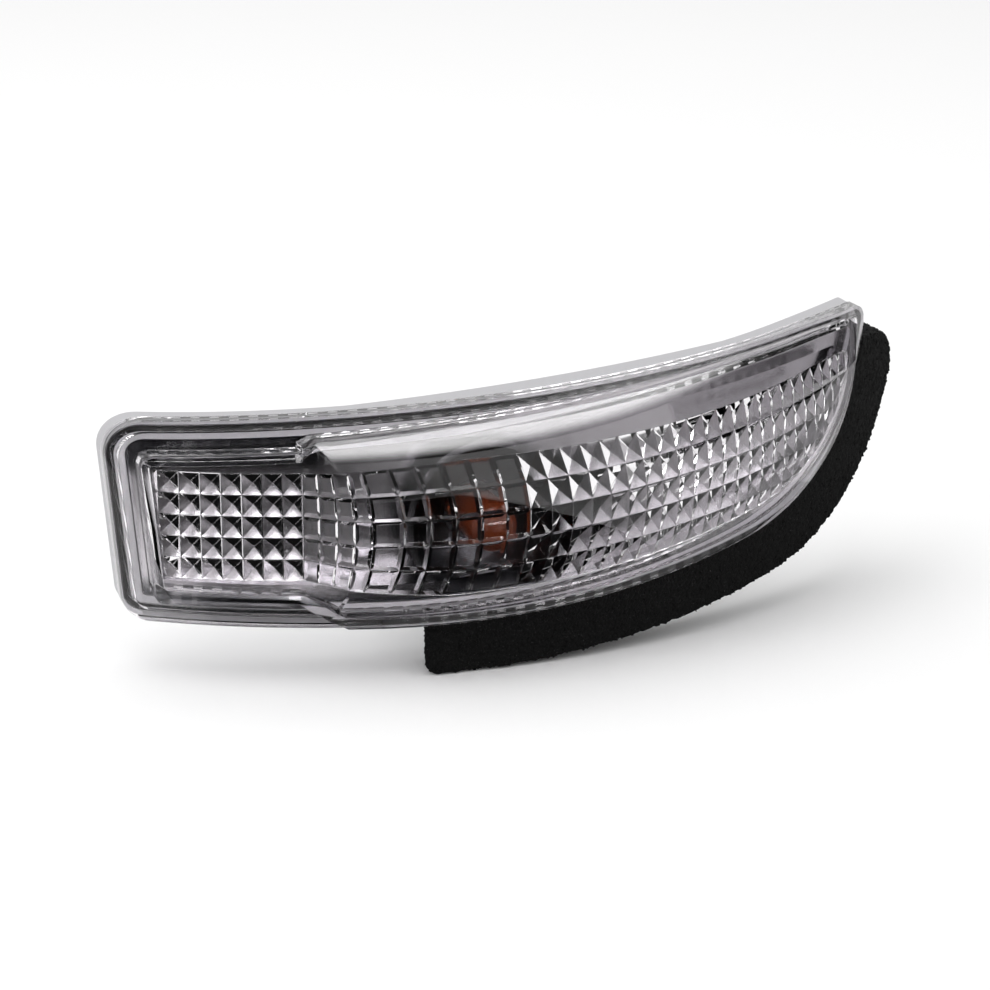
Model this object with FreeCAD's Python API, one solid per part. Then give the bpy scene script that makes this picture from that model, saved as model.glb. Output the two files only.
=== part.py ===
# Mirror turn signal lamp: a clear lens with moulded prisms over a metallised reflector, an amber
# wedge bulb in a twist-in socket, a grey back shell and a foam strip along the lower edge.
# Lamp axes while modelling: X to the right seen from the front, Y towards the back, Z up.
# Sheet pieces are drawn as outlines in the X-Z plane and moulded along Y. Their front and back
# faces follow upright barrels, because the lamp wraps round the corner of a mirror.
import FreeCAD, Part
import math
import os

from FreeCAD import Vector

# Barrel that the rim of the lamp lies on, and the depth of stock that outlines are cut from
rim_radius = 130.0
stock_front = -40.0
stock_back = 95.0
stock_height = 160.0

# Outline of the rim, sharp corners first
bottom_z = -25.8
bottom_left_x = -77.6
top_left_x = -80.7
top_left_z = 15.6
flat_end_x = -30.0
lower_sweep_radius = 375.0
lower_sweep_deg = 12.3
horn_radius = 46.6
shoulder_x = 60.0
shoulder_z = 23.1
shoulder_heading_deg = 182.4
shoulder_radius = 200.0
top_edge_radius = 4000.0
top_left_round = 8.0
bottom_left_round = 4.5
tip_round = 4.0

# Clear lens
lens_wall = 2.2
lens_rim_depth = 3.0
lip_width = 2.4
lip_height = 1.3
pad_start_x = -16.0
pad_end_x = 12.0
pad_width = 1.5
pad_height = 0.6
low_face_height = 3.5
low_face_inset = 5.2
low_face_drop = 1.0
dome_inset = 1.3
dome_radius = 122.0
dome_height = 9.2
dome_crown_radius = 50.0
dome_centre_z = -3.0
dome_tilt_deg = 6.0
ledge_drop = 2.6
tip_margin = 4.0
ledge_end_x = 45.0
slope_foot_x = -46.5
slope_crest_x = -36.8
fold_run = 7.5
tongue_inset = 1.5
tongue_width = 1.2
tongue_length = 1.6

# Optic pattern moulded on the inside of the lens
optic_rows = 5
low_columns = 8
low_pitch = 3.62
low_optic_height = 21.8
slope_columns = 4
window_columns = 6
window_pitch = 4.9
horn_columns = 24
horn_first_pitch = 4.4
horn_last_pitch = 2.6
high_optic_height = 27.8
optic_height_taper = 0.033
optic_centre_drop = 1.1
optic_centre_z = -2.2
optic_centre_slope = 0.067
optic_centre_bend = 0.00047
column_bow = 2.4
prism_depth = 1.7
pillow_depth = 0.5
pillow_margin = 0.7
valley_stand_off = 0.15
optic_root = 0.8
optic_edge_inset = 8.0

# Back shell
shell_inset = 0.4
shell_flange_depth = 4.0
shell_body_inset = 3.8
shell_wall = 2.0
cavity_inset = 6.4
shell_back_y = 20.0
shell_back_radius = 200.0
groove_clearance = 0.2
groove_depth = 2.4
rebate_inset = 4.4
rebate_depth = 1.2

# Reflector
reflector_wall = 1.4
reflector_clearance = 0.3
reflector_floor_y = 11.5
reflector_floor_radius = 165.0
bowl_mouth_radius = 15.0
bowl_height = 8.0
bowl_side_bulge = 2.2
bulb_hole_clearance = 1.0

# Wedge bulb with 10 mm glass, standing along Y in its socket
bulb_x = -9.5
bulb_z = -6.5
bulb_radius = 5.0
bulb_wall = 0.7
bulb_tip_y = -3.0
bulb_body_length = 17.0
bulb_neck_length = 2.5
wedge_length = 7.0
wedge_width = 9.0
wedge_thickness = 2.2
lead_radius = 0.25
lead_half_spacing = 1.8
filament_radius = 0.3
filament_rise = 1.2
filament_y = 3.5

# Twist-in bulb socket
socket_radius = 7.6
socket_front_y = 14.2
socket_lug_length = 2.4
socket_lug_height = 1.7
socket_lug_count = 3
socket_lug_deg = 36.0
socket_running_gap = 0.3
boss_radius = 13.0
boss_wall = 3.0
boss_face_y = 21.6
gasket_width = 2.6
gasket_thickness = 1.6
socket_flange_radius = 12.4
socket_flange_depth = 2.4
socket_grip_radius = 9.6
socket_grip_length = 5.0
grip_rib_count = 12
grip_rib_height = 0.8
shroud_width = 15.0
shroud_height = 12.0
shroud_length = 11.0
shroud_wall = 1.3
pocket_clearance = 0.15
lead_slot_width = 0.9

# Brass contacts, one each side of the bulb's wedge
contact_thickness = 0.5
contact_width = 3.0
contact_length = 6.0
contact_bar_depth = 1.2
blade_width = 2.8
blade_thickness = 0.8
blade_length = 7.5
blade_half_spacing = 3.0
blade_z = -0.6

# Screw bosses, locating pin and breather on the back
main_boss_x = 26.0
main_boss_z = 2.0
end_boss_x = -60.0
end_boss_z = -4.0
screw_boss_radius = 3.8
screw_hole_radius = 1.6
screw_hole_depth = 10.0
screw_plane_y = 38.0
gusset_thickness = 1.4
gusset_reach = 7.5
gusset_root = 1.4
gusset_drop = 3.0
pin_x = 58.0
pin_z = 8.0
pin_radius = 2.0
pin_seat_y = 31.6
pin_seat_radius = 4.6
pin_length = 6.5
pin_chamfer = 0.6
vent_x = 8.0
vent_z = 8.0
vent_radius = 4.0
vent_hole_radius = 1.5
vent_ring_wall = 1.4
vent_ring_height = 1.6
vent_patch_thickness = 0.4

# Foam strip stuck under the lower edge
foam_radius = 142.0
foam_thickness = 11.6
foam_outset = 5.4
foam_shift_x = 7.6
foam_shift_z = -6.3
foam_clearance = 0.3
foam_front_y = 2.6
foam_back_y = 14.0
foam_start_x = -18.7
foam_top_z = 15.2
foam_top_round = 8.0


def on_circle(centre, radius, heading_deg):
    """Point of a left-turning arc where its heading is heading_deg, in the X-Z plane."""
    a = math.radians(heading_deg)
    return centre + Vector(math.sin(a), 0, -math.cos(a)) * radius


def arc_centre(point, radius, heading_deg):
    """Centre of the left-turning arc that passes a point with that heading."""
    return point - on_circle(Vector(0, 0, 0), radius, heading_deg)


def arc_edge(centre, radius, start, end):
    """Shorter arc about a centre between two points of it."""
    middle = centre + ((start - centre) + (end - centre)).normalize() * radius
    return Part.Arc(start, middle, end).toShape()


def meeting(first, second, near):
    """Where two curves cross, nearest to a rough position."""
    points = [Vector(p.X, p.Y, p.Z) for p in first.intersect(second)]
    return min(points, key=lambda p: p.distanceToPoint(near))


def outline_bar(inset):
    """The lamp's outline moved inwards by an inset, as a bar running front to back."""
    up = Vector(0, 0, 1)
    flat_end = Vector(flat_end_x, 0, bottom_z)
    sweep_centre = arc_centre(flat_end, lower_sweep_radius, 0)
    sweep_end = on_circle(sweep_centre, lower_sweep_radius, lower_sweep_deg)
    horn_centre = arc_centre(sweep_end, horn_radius, lower_sweep_deg)
    shoulder = Vector(shoulder_x, 0, shoulder_z)
    shoulder_centre = arc_centre(shoulder, shoulder_radius, shoulder_heading_deg)
    top_centre = arc_centre(shoulder, top_edge_radius, shoulder_heading_deg)
    bottom_left = Vector(bottom_left_x, 0, bottom_z)
    top_left = Vector(top_left_x, 0, top_left_z)
    side = (bottom_left - top_left).normalize()
    inward = Vector(-side.z, 0, side.x)

    normal = Vector(0, -1, 0)
    horn_circle = Part.Circle(horn_centre, normal, horn_radius - inset)
    shoulder_circle = Part.Circle(shoulder_centre, normal, shoulder_radius - inset)
    top_circle = Part.Circle(top_centre, normal, top_edge_radius - inset)
    left_line = Part.Line(top_left + inward * inset, bottom_left + inward * inset)
    base_line = Part.Line(bottom_left + up * inset, flat_end + up * inset)
    tip = meeting(horn_circle, shoulder_circle, Vector(84, 0, 22))
    top_corner = meeting(top_circle, left_line, top_left)
    bottom_corner = meeting(base_line, left_line, bottom_left)
    flat_end = flat_end + up * inset
    sweep_end = on_circle(sweep_centre, lower_sweep_radius - inset, lower_sweep_deg)
    shoulder = on_circle(shoulder_centre, shoulder_radius - inset, shoulder_heading_deg)

    edges = [
        Part.LineSegment(bottom_corner, flat_end).toShape(),
        arc_edge(sweep_centre, lower_sweep_radius - inset, flat_end, sweep_end),
        arc_edge(horn_centre, horn_radius - inset, sweep_end, tip),
        arc_edge(shoulder_centre, shoulder_radius - inset, tip, shoulder),
        arc_edge(top_centre, top_edge_radius - inset, shoulder, top_corner),
        Part.LineSegment(top_corner, bottom_corner).toShape(),
    ]
    face = Part.Face(Part.Wire(edges))
    face.translate(Vector(0, stock_front, 0))
    bar = face.extrude(Vector(0, stock_back - stock_front, 0))
    middle = Vector(0, (stock_front + stock_back) / 2, 0)
    corners = [(top_corner, top_left_round), (bottom_corner, bottom_left_round), (tip, tip_round)]
    for corner, radius in corners:
        edge = min(bar.Edges, key=lambda e: e.CenterOfMass.distanceToPoint(corner + middle))
        bar = bar.makeFillet(max(radius - inset, 0.8), [edge])
    return bar


def behind_barrel(radius, front_y, depth=stock_back - stock_front):
    """Everything behind the front half of an upright cylinder, down to a depth."""
    centre = Vector(0, front_y + radius, -stock_height / 2)
    whole = Part.makeCylinder(radius, stock_height, centre)
    half = Part.makeBox(2 * radius, radius, stock_height, centre - Vector(radius, radius, 0))
    tail = Part.makeBox(2 * radius, stock_back, stock_height, centre - Vector(radius, 0, 0))
    return whole.common(half).fuse(tail).removeSplitter()


def behind_rim(drop):
    """Everything deeper than the rim's barrel by a drop."""
    return behind_barrel(rim_radius - drop, drop)


def rim_layer(bar, front_drop, back_drop):
    """The layer of a bar that lies between two depths behind the rim's barrel."""
    return bar.common(behind_rim(front_drop)).cut(behind_rim(back_drop))


def half_space(x, heading_deg, right=True):
    """Everything on one side of an upright plane through x, leaning in the X-Z plane."""
    box = Part.makeBox(300, 400, 600, Vector(x if right else x - 300, -200, -300))
    box.rotate(Vector(x, 0, 20), Vector(0, 1, 0), heading_deg)
    return box


def low_front(x, wall):
    """Depth of the lens's lower left face, or of its inner side one wall behind it."""
    radius = rim_radius + low_face_height - wall
    return rim_radius - math.sqrt(radius ** 2 - x ** 2)


def dome_front(x, z, wall):
    """Depth of the lens's domed face, or of its inner side one wall behind it."""
    tilt = math.radians(dome_tilt_deg)
    along = x * math.cos(tilt) + (z - dome_centre_z) * math.sin(tilt)
    across = (z - dome_centre_z) * math.cos(tilt) - x * math.sin(tilt)
    crown = dome_crown_radius - wall
    reach = dome_radius - dome_crown_radius + math.sqrt(crown ** 2 - across ** 2)
    return dome_radius - dome_height - math.sqrt(reach ** 2 - along ** 2)


def slope_points(wall):
    """Foot and crest of the slope between the two faces."""
    shift = wall * 0.25
    foot = slope_foot_x + shift
    crest = slope_crest_x + shift
    return foot, low_front(foot, wall), crest, dome_front(crest, dome_centre_z, wall)


def slope_front(x, wall):
    """Depth of the slope's plane."""
    x0, y0, x1, y1 = slope_points(wall)
    return y0 + (x - x0) * (y1 - y0) / (x1 - x0)


def lens_front(x, z, wall):
    """Depth of the whole lens face, or of its inner side one wall behind it."""
    return min(low_front(x, wall), max(dome_front(x, z, wall), slope_front(x, wall)))


def edge_z(x):
    """Height of the lamp's top edge left of the shoulder."""
    slope = math.tan(math.radians(shoulder_heading_deg))
    run = x - shoulder_x
    return shoulder_z + slope * run - run ** 2 / (2 * top_edge_radius)


def fold_room(wall):
    """Room of the domed face, whose outline folds inwards to the low face's at the slope's foot."""
    foot = slope_points(wall)[0]
    end = foot + fold_run
    near = low_face_inset + wall
    far = dome_inset + wall
    points = [(foot, bottom_z + near), (foot, edge_z(foot) - near), (end, edge_z(end) - far), (end, 90)]
    points += [(200, 90), (200, -90), (end, -90), (end, bottom_z + far), (foot, bottom_z + near)]
    face = Part.Face(Part.makePolygon([Vector(x, stock_front, z) for x, z in points]))
    return face.extrude(Vector(0, stock_back - stock_front, 0))


def lens_block(wall):
    """The raised part of the lens as a solid block; with a wall, the hollow inside it."""
    low_bar = outline_bar(low_face_inset + wall)
    low_bar = low_bar.common(low_bar.translated(Vector(0, 0, -low_face_drop)))
    low_bar = low_bar.common(half_space(slope_crest_x, 0, right=False))
    low = low_bar.common(behind_barrel(rim_radius + low_face_height - wall, wall - low_face_height))

    bar = outline_bar(dome_inset + wall)
    bar = bar.common(bar.translated(Vector(-tip_margin, 0, 0)))
    lowered = bar.copy()
    lean = math.degrees(ledge_drop / (ledge_end_x - slope_foot_x))
    lowered.rotate(Vector(ledge_end_x, 0, edge_z(ledge_end_x)), Vector(0, 1, 0), -lean)
    bar = bar.common(lowered).common(fold_room(wall))
    axis = Vector(0, dome_radius - dome_height, dome_centre_z)
    ring = Part.makeTorus(dome_radius - dome_crown_radius, dome_crown_radius - wall, axis, Vector(0, 0, 1))
    core = Part.makeCylinder(dome_radius - dome_crown_radius, 2 * dome_crown_radius,
                             axis - Vector(0, 0, dome_crown_radius))
    ring.rotate(axis, Vector(0, 1, 0), -dome_tilt_deg)
    core.rotate(axis, Vector(0, 1, 0), -dome_tilt_deg)
    tail = Part.makeBox(300, stock_back, stock_height, Vector(-150, axis.y - 30, -stock_height / 2))
    foot, y_foot, crest, y_crest = slope_points(wall)
    run = Vector(crest - foot, y_crest - y_foot, 0) * 6
    corner = Vector(foot, y_foot, 0)
    points = [corner, corner + run, Vector(150, corner.y + run.y, 0), Vector(150, stock_back, 0)]
    points += [Vector(foot, stock_back, 0), corner]
    wedge = Part.Face(Part.makePolygon(points)).extrude(Vector(0, 0, stock_height))
    wedge.translate(Vector(0, 0, -stock_height / 2))
    dome = bar.common(wedge).common(ring.fuse([core, tail]))
    return low.fuse(dome).removeSplitter()


def column_lines():
    """X of each upright line between prism columns, left to right, with the kind of each column."""
    foot, _, crest, _ = slope_points(lens_wall)
    lines = [foot - low_pitch * n for n in range(low_columns, -1, -1)]
    kinds = ["prism"] * low_columns
    for n in range(slope_columns):
        lines.append(foot + (crest - foot) * (n + 1) / slope_columns)
        kinds.append("pillow")
    for n in range(window_columns):
        lines.append(lines[-1] + window_pitch)
        kinds.append("pillow")
    for n in range(horn_columns):
        share = n / (horn_columns - 1)
        lines.append(lines[-1] + horn_first_pitch + (horn_last_pitch - horn_first_pitch) * share)
        kinds.append("prism")
    return lines, kinds


def optic_point(x, row):
    """Position in the X-Z plane of a grid corner: the column line's x and the row line's number."""
    foot, _, crest, _ = slope_points(lens_wall)
    share = min(max((x - foot) / (3 * (crest - foot)), 0), 1)
    high = high_optic_height - optic_height_taper * max(x - crest, 0)
    height = low_optic_height + (high - low_optic_height) * share
    centre = optic_centre_z + optic_centre_slope * x + optic_centre_bend * x ** 2
    centre -= optic_centre_drop * share
    across = 2 * row / optic_rows - 1
    rise = min(max((x - foot) / 15, 0), 1)
    fall = min(max((x - 5) / 50, 0), 1)
    bow = column_bow * rise * (1 - 0.8 * fall) * (1 - across ** 2)
    return x + bow, centre + across * height / 2


def lens_normal(x, z):
    """Direction from the lens's inner side into the lamp."""
    step = 0.05
    slope_x = (lens_front(x + step, z, lens_wall) - lens_front(x - step, z, lens_wall)) / (2 * step)
    slope_z = (lens_front(x, z + step, lens_wall) - lens_front(x, z - step, lens_wall)) / (2 * step)
    return Vector(-slope_x, 1, -slope_z).normalize()


def facets(points):
    """Flat faces covering a ring of three or four points."""
    if len(points) == 4:
        return facets(points[:3]) + facets([points[0], points[2], points[3]])
    return [Part.Face(Part.makePolygon(points + points[:1]))]


def optic_plate():
    """The prism field: pyramids and low pillows standing on the lens's inner side, as one sheet."""
    lines, kinds = column_lines()
    valley = []
    root = []
    for row in range(optic_rows + 1):
        flat = [optic_point(x, row) for x in lines]
        valley.append([Vector(x, lens_front(x, z, lens_wall) + valley_stand_off, z) for x, z in flat])
        root.append([Vector(x, lens_front(x, z, lens_wall) - optic_root, z) for x, z in flat])
    faces = []
    for row in range(optic_rows):
        for column, kind in enumerate(kinds):
            ring = [valley[row][column], valley[row][column + 1],
                    valley[row + 1][column + 1], valley[row + 1][column]]
            centre = (ring[0] + ring[1] + ring[2] + ring[3]) * 0.25
            inward = lens_normal(centre.x, centre.z)
            if kind == "prism":
                apex = centre + inward * prism_depth
                for n in range(4):
                    faces += facets([ring[n], ring[(n + 1) % 4], apex])
            else:
                width = ring[0].distanceToPoint(ring[1])
                top = [p + (centre - p) * (2 * pillow_margin / width) + inward * pillow_depth for p in ring]
                faces += facets(top)
                for n in range(4):
                    faces += facets([ring[n], ring[(n + 1) % 4], top[(n + 1) % 4], top[n]])
            faces += facets([root[row][column], root[row][column + 1],
                             root[row + 1][column + 1], root[row + 1][column]])
    last_row = optic_rows
    last = len(lines) - 1
    for column in range(last):
        for row in (0, last_row):
            faces += facets([valley[row][column], valley[row][column + 1],
                             root[row][column + 1], root[row][column]])
    for row in range(last_row):
        for column in (0, last):
            faces += facets([valley[row][column], valley[row + 1][column],
                             root[row + 1][column], root[row][column]])
    shell = Part.makeShell(faces)
    shell.sewShape()
    solid = Part.makeSolid(shell)
    if solid.Volume < 0:
        solid.reverse()
    return solid


def make_outer_lens():
    """Clear lens: rim with a raised lip, hollow raised face, tongue and moulded prisms."""
    bar = outline_bar(0)
    rim = rim_layer(bar, lip_height, lens_rim_depth)
    lip = rim_layer(bar.cut(outline_bar(lip_width)), 0, lens_rim_depth)
    pad_bar = outline_bar(lip_width - 0.1).cut(outline_bar(lip_width + pad_width))
    pad_room = Part.makeBox(pad_end_x - pad_start_x, 200, 80, Vector(pad_start_x, -100, 0))
    pad = rim_layer(pad_bar.common(pad_room), lip_height - pad_height, lens_rim_depth - 0.5)
    raised = lens_block(0).cut(behind_rim(lens_rim_depth))
    body = rim.fuse([lip, pad, raised]).removeSplitter()
    hollow = lens_block(lens_wall)
    body = body.cut(hollow)
    tongue_bar = outline_bar(tongue_inset).cut(outline_bar(tongue_inset + tongue_width))
    tongue = rim_layer(tongue_bar, lens_rim_depth - 0.5, lens_rim_depth + tongue_length)
    optic = optic_plate().common(outline_bar(optic_edge_inset))
    return body.fuse([tongue, optic])


def make_lens_seal():
    """Sealing bead in the bottom of the shell's groove, under the lens's tongue."""
    inner = tongue_inset + tongue_width + groove_clearance
    bar = outline_bar(tongue_inset - groove_clearance).cut(outline_bar(inner))
    return rim_layer(bar, lens_rim_depth + tongue_length, lens_rim_depth + groove_depth)


def make_reflector():
    """Metallised reflector: lip, side wall, curved floor and a bowl round the bulb."""
    outer_inset = cavity_inset + reflector_clearance
    outer = outline_bar(outer_inset)
    inner = outline_bar(outer_inset + reflector_wall)
    floor = behind_barrel(reflector_floor_radius, reflector_floor_y)
    back = behind_barrel(reflector_floor_radius - reflector_wall, reflector_floor_y + reflector_wall)
    lip_bar = outline_bar(rebate_inset + reflector_clearance)
    lip = rim_layer(lip_bar, lens_rim_depth, lens_rim_depth + rebate_depth)
    room = behind_rim(lens_rim_depth)
    dish = lip.fuse(outer.common(room).cut(back)).cut(inner.cut(floor))

    hole = bulb_radius + bulb_hole_clearance
    rear = reflector_floor_y + reflector_wall
    base_y = rear - 0.4
    mouth_y = rear - bowl_height
    inner_low = Vector(hole, base_y, 0)
    inner_high = Vector(bowl_mouth_radius, mouth_y, 0)
    middle = (inner_low + inner_high) * 0.5 + Vector(bowl_side_bulge, bowl_side_bulge, 0) * 0.5
    wall = Vector(reflector_wall, 0, 0)
    curve_in = Part.Arc(inner_low, middle, inner_high).toShape()
    curve_out = Part.Arc(inner_high + wall, middle + wall, inner_low + wall).toShape()
    sides = [Part.LineSegment(inner_high, inner_high + wall).toShape(),
             Part.LineSegment(inner_low + wall, inner_low).toShape()]
    section = Part.Face(Part.Wire([curve_in, sides[0], curve_out, sides[1]]))
    bowl = section.revolve(Vector(0, 0, 0), Vector(0, 1, 0), 360)
    cup_edges = [Part.Arc(inner_low, middle, inner_high).toShape(),
                 Part.LineSegment(inner_high, Vector(0, mouth_y, 0)).toShape(),
                 Part.LineSegment(Vector(0, mouth_y, 0), Vector(0, base_y, 0)).toShape(),
                 Part.LineSegment(Vector(0, base_y, 0), inner_low).toShape()]
    cup = Part.Face(Part.Wire(cup_edges)).revolve(Vector(0, 0, 0), Vector(0, 1, 0), 360)
    place = Vector(bulb_x, 0, bulb_z)
    bowl.translate(place)
    cup.translate(place)
    hole_tool = Part.makeCylinder(hole, 40, Vector(bulb_x, -10, bulb_z), Vector(0, 1, 0))
    dish = dish.fuse(bowl.common(outer).common(room)).cut([cup, hole_tool])
    return dish.removeSplitter()


def turned(radius, length, x, y, z):
    """Cylinder running back along Y."""
    return Part.makeCylinder(radius, length, Vector(x, y, z), Vector(0, 1, 0))


def socket_lugs(radius, gap, length, front_y):
    """Locking lugs round the bulb socket, or with a gap the slots that let them through."""
    lugs = []
    for n in range(socket_lug_count):
        angle = 360 * n / socket_lug_count
        half = socket_lug_deg / 2 + (2 if gap else 0)
        ring = Part.makeCylinder(radius + socket_lug_height + gap, length, Vector(0, front_y, 0),
                                 Vector(0, 1, 0), 2 * half)
        turn = angle - half
        ring.rotate(Vector(0, 0, 0), Vector(0, 1, 0), turn)
        ring.translate(Vector(bulb_x, 0, bulb_z))
        lugs.append(ring)
    return lugs


def shell_back_at(x):
    """Depth of the shell's back face."""
    return shell_back_y + shell_back_radius - math.sqrt(shell_back_radius ** 2 - x ** 2)


def make_back_shell():
    """Dark back shell: flange with groove and rebate, walls, socket boss, screw bosses and vent."""
    flange = rim_layer(outline_bar(shell_inset), lens_rim_depth, lens_rim_depth + shell_flange_depth)
    outer_back = behind_barrel(shell_back_radius, shell_back_y)
    inner_back = behind_barrel(shell_back_radius + shell_wall, shell_back_y - shell_wall)
    body = outline_bar(shell_body_inset).common(behind_rim(lens_rim_depth)).cut(outer_back)
    solid = flange.fuse(body)
    boss_front = boss_face_y - boss_wall
    solid = solid.fuse(turned(boss_radius, boss_wall, bulb_x, boss_front, bulb_z))
    for x, z in ((main_boss_x, main_boss_z), (end_boss_x, end_boss_z)):
        y = shell_back_at(x)
        start = y - shell_wall
        solid = solid.fuse(turned(screw_boss_radius, screw_plane_y - start, x, start, z))
        for turn in (0, 90, 180, 270):
            points = [Vector(0, -gusset_root, 0), Vector(gusset_reach, -gusset_root, 0),
                      Vector(gusset_reach, 0, 0), Vector(0, screw_plane_y - gusset_drop - y, 0),
                      Vector(0, -gusset_root, 0)]
            gusset = Part.Face(Part.makePolygon(points)).extrude(Vector(0, 0, gusset_thickness))
            gusset.translate(Vector(0, 0, -gusset_thickness / 2))
            gusset.rotate(Vector(0, 0, 0), Vector(0, 1, 0), turn)
            gusset.translate(Vector(x, y, z))
            solid = solid.fuse(gusset)
    pin_root = shell_back_at(pin_x) - shell_wall
    pin = turned(pin_radius, pin_seat_y + pin_length - pin_root, pin_x, pin_root, pin_z)
    pin_tip = Vector(pin_x, pin_seat_y + pin_length, pin_z)
    pin_end = Part.makeCone(pin_radius, pin_radius - pin_chamfer, pin_chamfer, pin_tip, Vector(0, 1, 0))
    pin_seat = turned(pin_seat_radius, pin_seat_y - pin_root, pin_x, pin_root, pin_z)
    vent_top = shell_back_y + vent_ring_height
    vent = turned(vent_radius + vent_ring_wall, vent_ring_height + 1, vent_x, vent_top - vent_ring_height - 1,
                  vent_z)
    solid = solid.fuse([pin, pin_end, pin_seat, vent])

    room = behind_rim(lens_rim_depth - 1)
    cavity = outline_bar(cavity_inset).common(room).cut(inner_back)
    rebate = rim_layer(outline_bar(rebate_inset), lens_rim_depth - 1, lens_rim_depth + rebate_depth)
    inner = tongue_inset + tongue_width + groove_clearance
    groove_bar = outline_bar(tongue_inset - groove_clearance).cut(outline_bar(inner))
    groove = rim_layer(groove_bar, lens_rim_depth - 1, lens_rim_depth + groove_depth)
    bore = turned(socket_radius + socket_running_gap, 40, bulb_x, 0, bulb_z)
    slots = socket_lugs(socket_radius, socket_running_gap, 30, 10)
    vent_seat = turned(vent_radius, 10, vent_x, vent_top - vent_patch_thickness, vent_z)
    vent_hole = turned(vent_hole_radius, 20, vent_x, 10, vent_z)
    cuts = [cavity, rebate, groove, bore, vent_seat, vent_hole] + slots
    for x, z in ((main_boss_x, main_boss_z), (end_boss_x, end_boss_z)):
        cuts.append(turned(screw_hole_radius, screw_hole_depth, x, screw_plane_y - screw_hole_depth, z))
    solid = solid.cut(cuts)
    return solid.removeSplitter()


def make_bulb_glass():
    """Amber glass of the wedge bulb: rounded envelope, neck and flat wedge with two wire holes."""
    end = bulb_tip_y + bulb_body_length

    def envelope(wall, stop):
        radius = bulb_radius - wall
        tip = Vector(0, bulb_tip_y + wall, 0)
        dome_y = bulb_tip_y + bulb_radius
        knee = Vector(radius * math.cos(math.pi / 4), dome_y - radius * math.sin(math.pi / 4), 0)
        edges = [Part.Arc(tip, knee, Vector(radius, dome_y, 0)).toShape(),
                 Part.LineSegment(Vector(radius, dome_y, 0), Vector(radius, stop, 0)).toShape(),
                 Part.LineSegment(Vector(radius, stop, 0), Vector(0, stop, 0)).toShape(),
                 Part.LineSegment(Vector(0, stop, 0), tip).toShape()]
        return Part.Face(Part.Wire(edges)).revolve(Vector(0, 0, 0), Vector(0, 1, 0), 360)

    outer = envelope(0, end)
    inner = envelope(bulb_wall, end - 2)
    neck_top = Part.Wire(Part.Circle(Vector(0, end, 0), Vector(0, 1, 0), bulb_radius).toShape())
    neck_low = Part.Wire(Part.Ellipse(Vector(wedge_width / 2, end + bulb_neck_length, 0),
                                      Vector(0, end + bulb_neck_length, wedge_thickness / 2),
                                      Vector(0, end + bulb_neck_length, 0)).toShape())
    neck = Part.makeLoft([neck_top, neck_low], True)
    wedge = Part.makeBox(wedge_width, wedge_length + bulb_neck_length, wedge_thickness,
                         Vector(-wedge_width / 2, end, -wedge_thickness / 2))
    glass = outer.fuse([neck, wedge]).cut(inner)
    for side in (-1, 1):
        glass = glass.cut(turned(lead_radius, 60, side * lead_half_spacing, end - 5, 0))
    glass.translate(Vector(bulb_x, 0, bulb_z))
    return glass.removeSplitter()


def make_lead(side):
    """Lead wire: up from the wedge into the glass, and folded back along one face of the wedge."""
    bottom = bulb_tip_y + bulb_body_length + bulb_neck_length + wedge_length
    x = side * lead_half_spacing
    z = side * (wedge_thickness / 2 + lead_radius)
    turn_y = bottom + lead_radius
    corners = [Vector(x, filament_y, 0), Vector(x, turn_y, 0), Vector(x, turn_y, z),
               Vector(x, turn_y - contact_length, z)]
    wire = None
    for start, end in zip(corners, corners[1:]):
        along = end - start
        rod = Part.makeCylinder(lead_radius, along.Length, start, along)
        wire = rod if wire is None else wire.fuse(rod)
    for corner in corners[1:3]:
        wire = wire.fuse(Part.makeSphere(lead_radius, corner))
    wire.translate(Vector(bulb_x, 0, bulb_z))
    return wire.removeSplitter()


def make_filament():
    """Coiled filament taken as one fine rod, bowed between the tips of the two lead wires."""
    left = Vector(bulb_x - lead_half_spacing, filament_y, bulb_z)
    right = Vector(bulb_x + lead_half_spacing, filament_y, bulb_z)
    top = Vector(bulb_x, filament_y - filament_rise, bulb_z)
    spine = Part.Wire(Part.Arc(left, top, right).toShape())
    tangent = spine.Edges[0].tangentAt(spine.Edges[0].FirstParameter)
    section = Part.Wire(Part.Circle(left, tangent, filament_radius).toShape())
    rod = spine.makePipeShell([section], True, True)
    return rod.cut([make_lead(-1), make_lead(1)])


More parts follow.
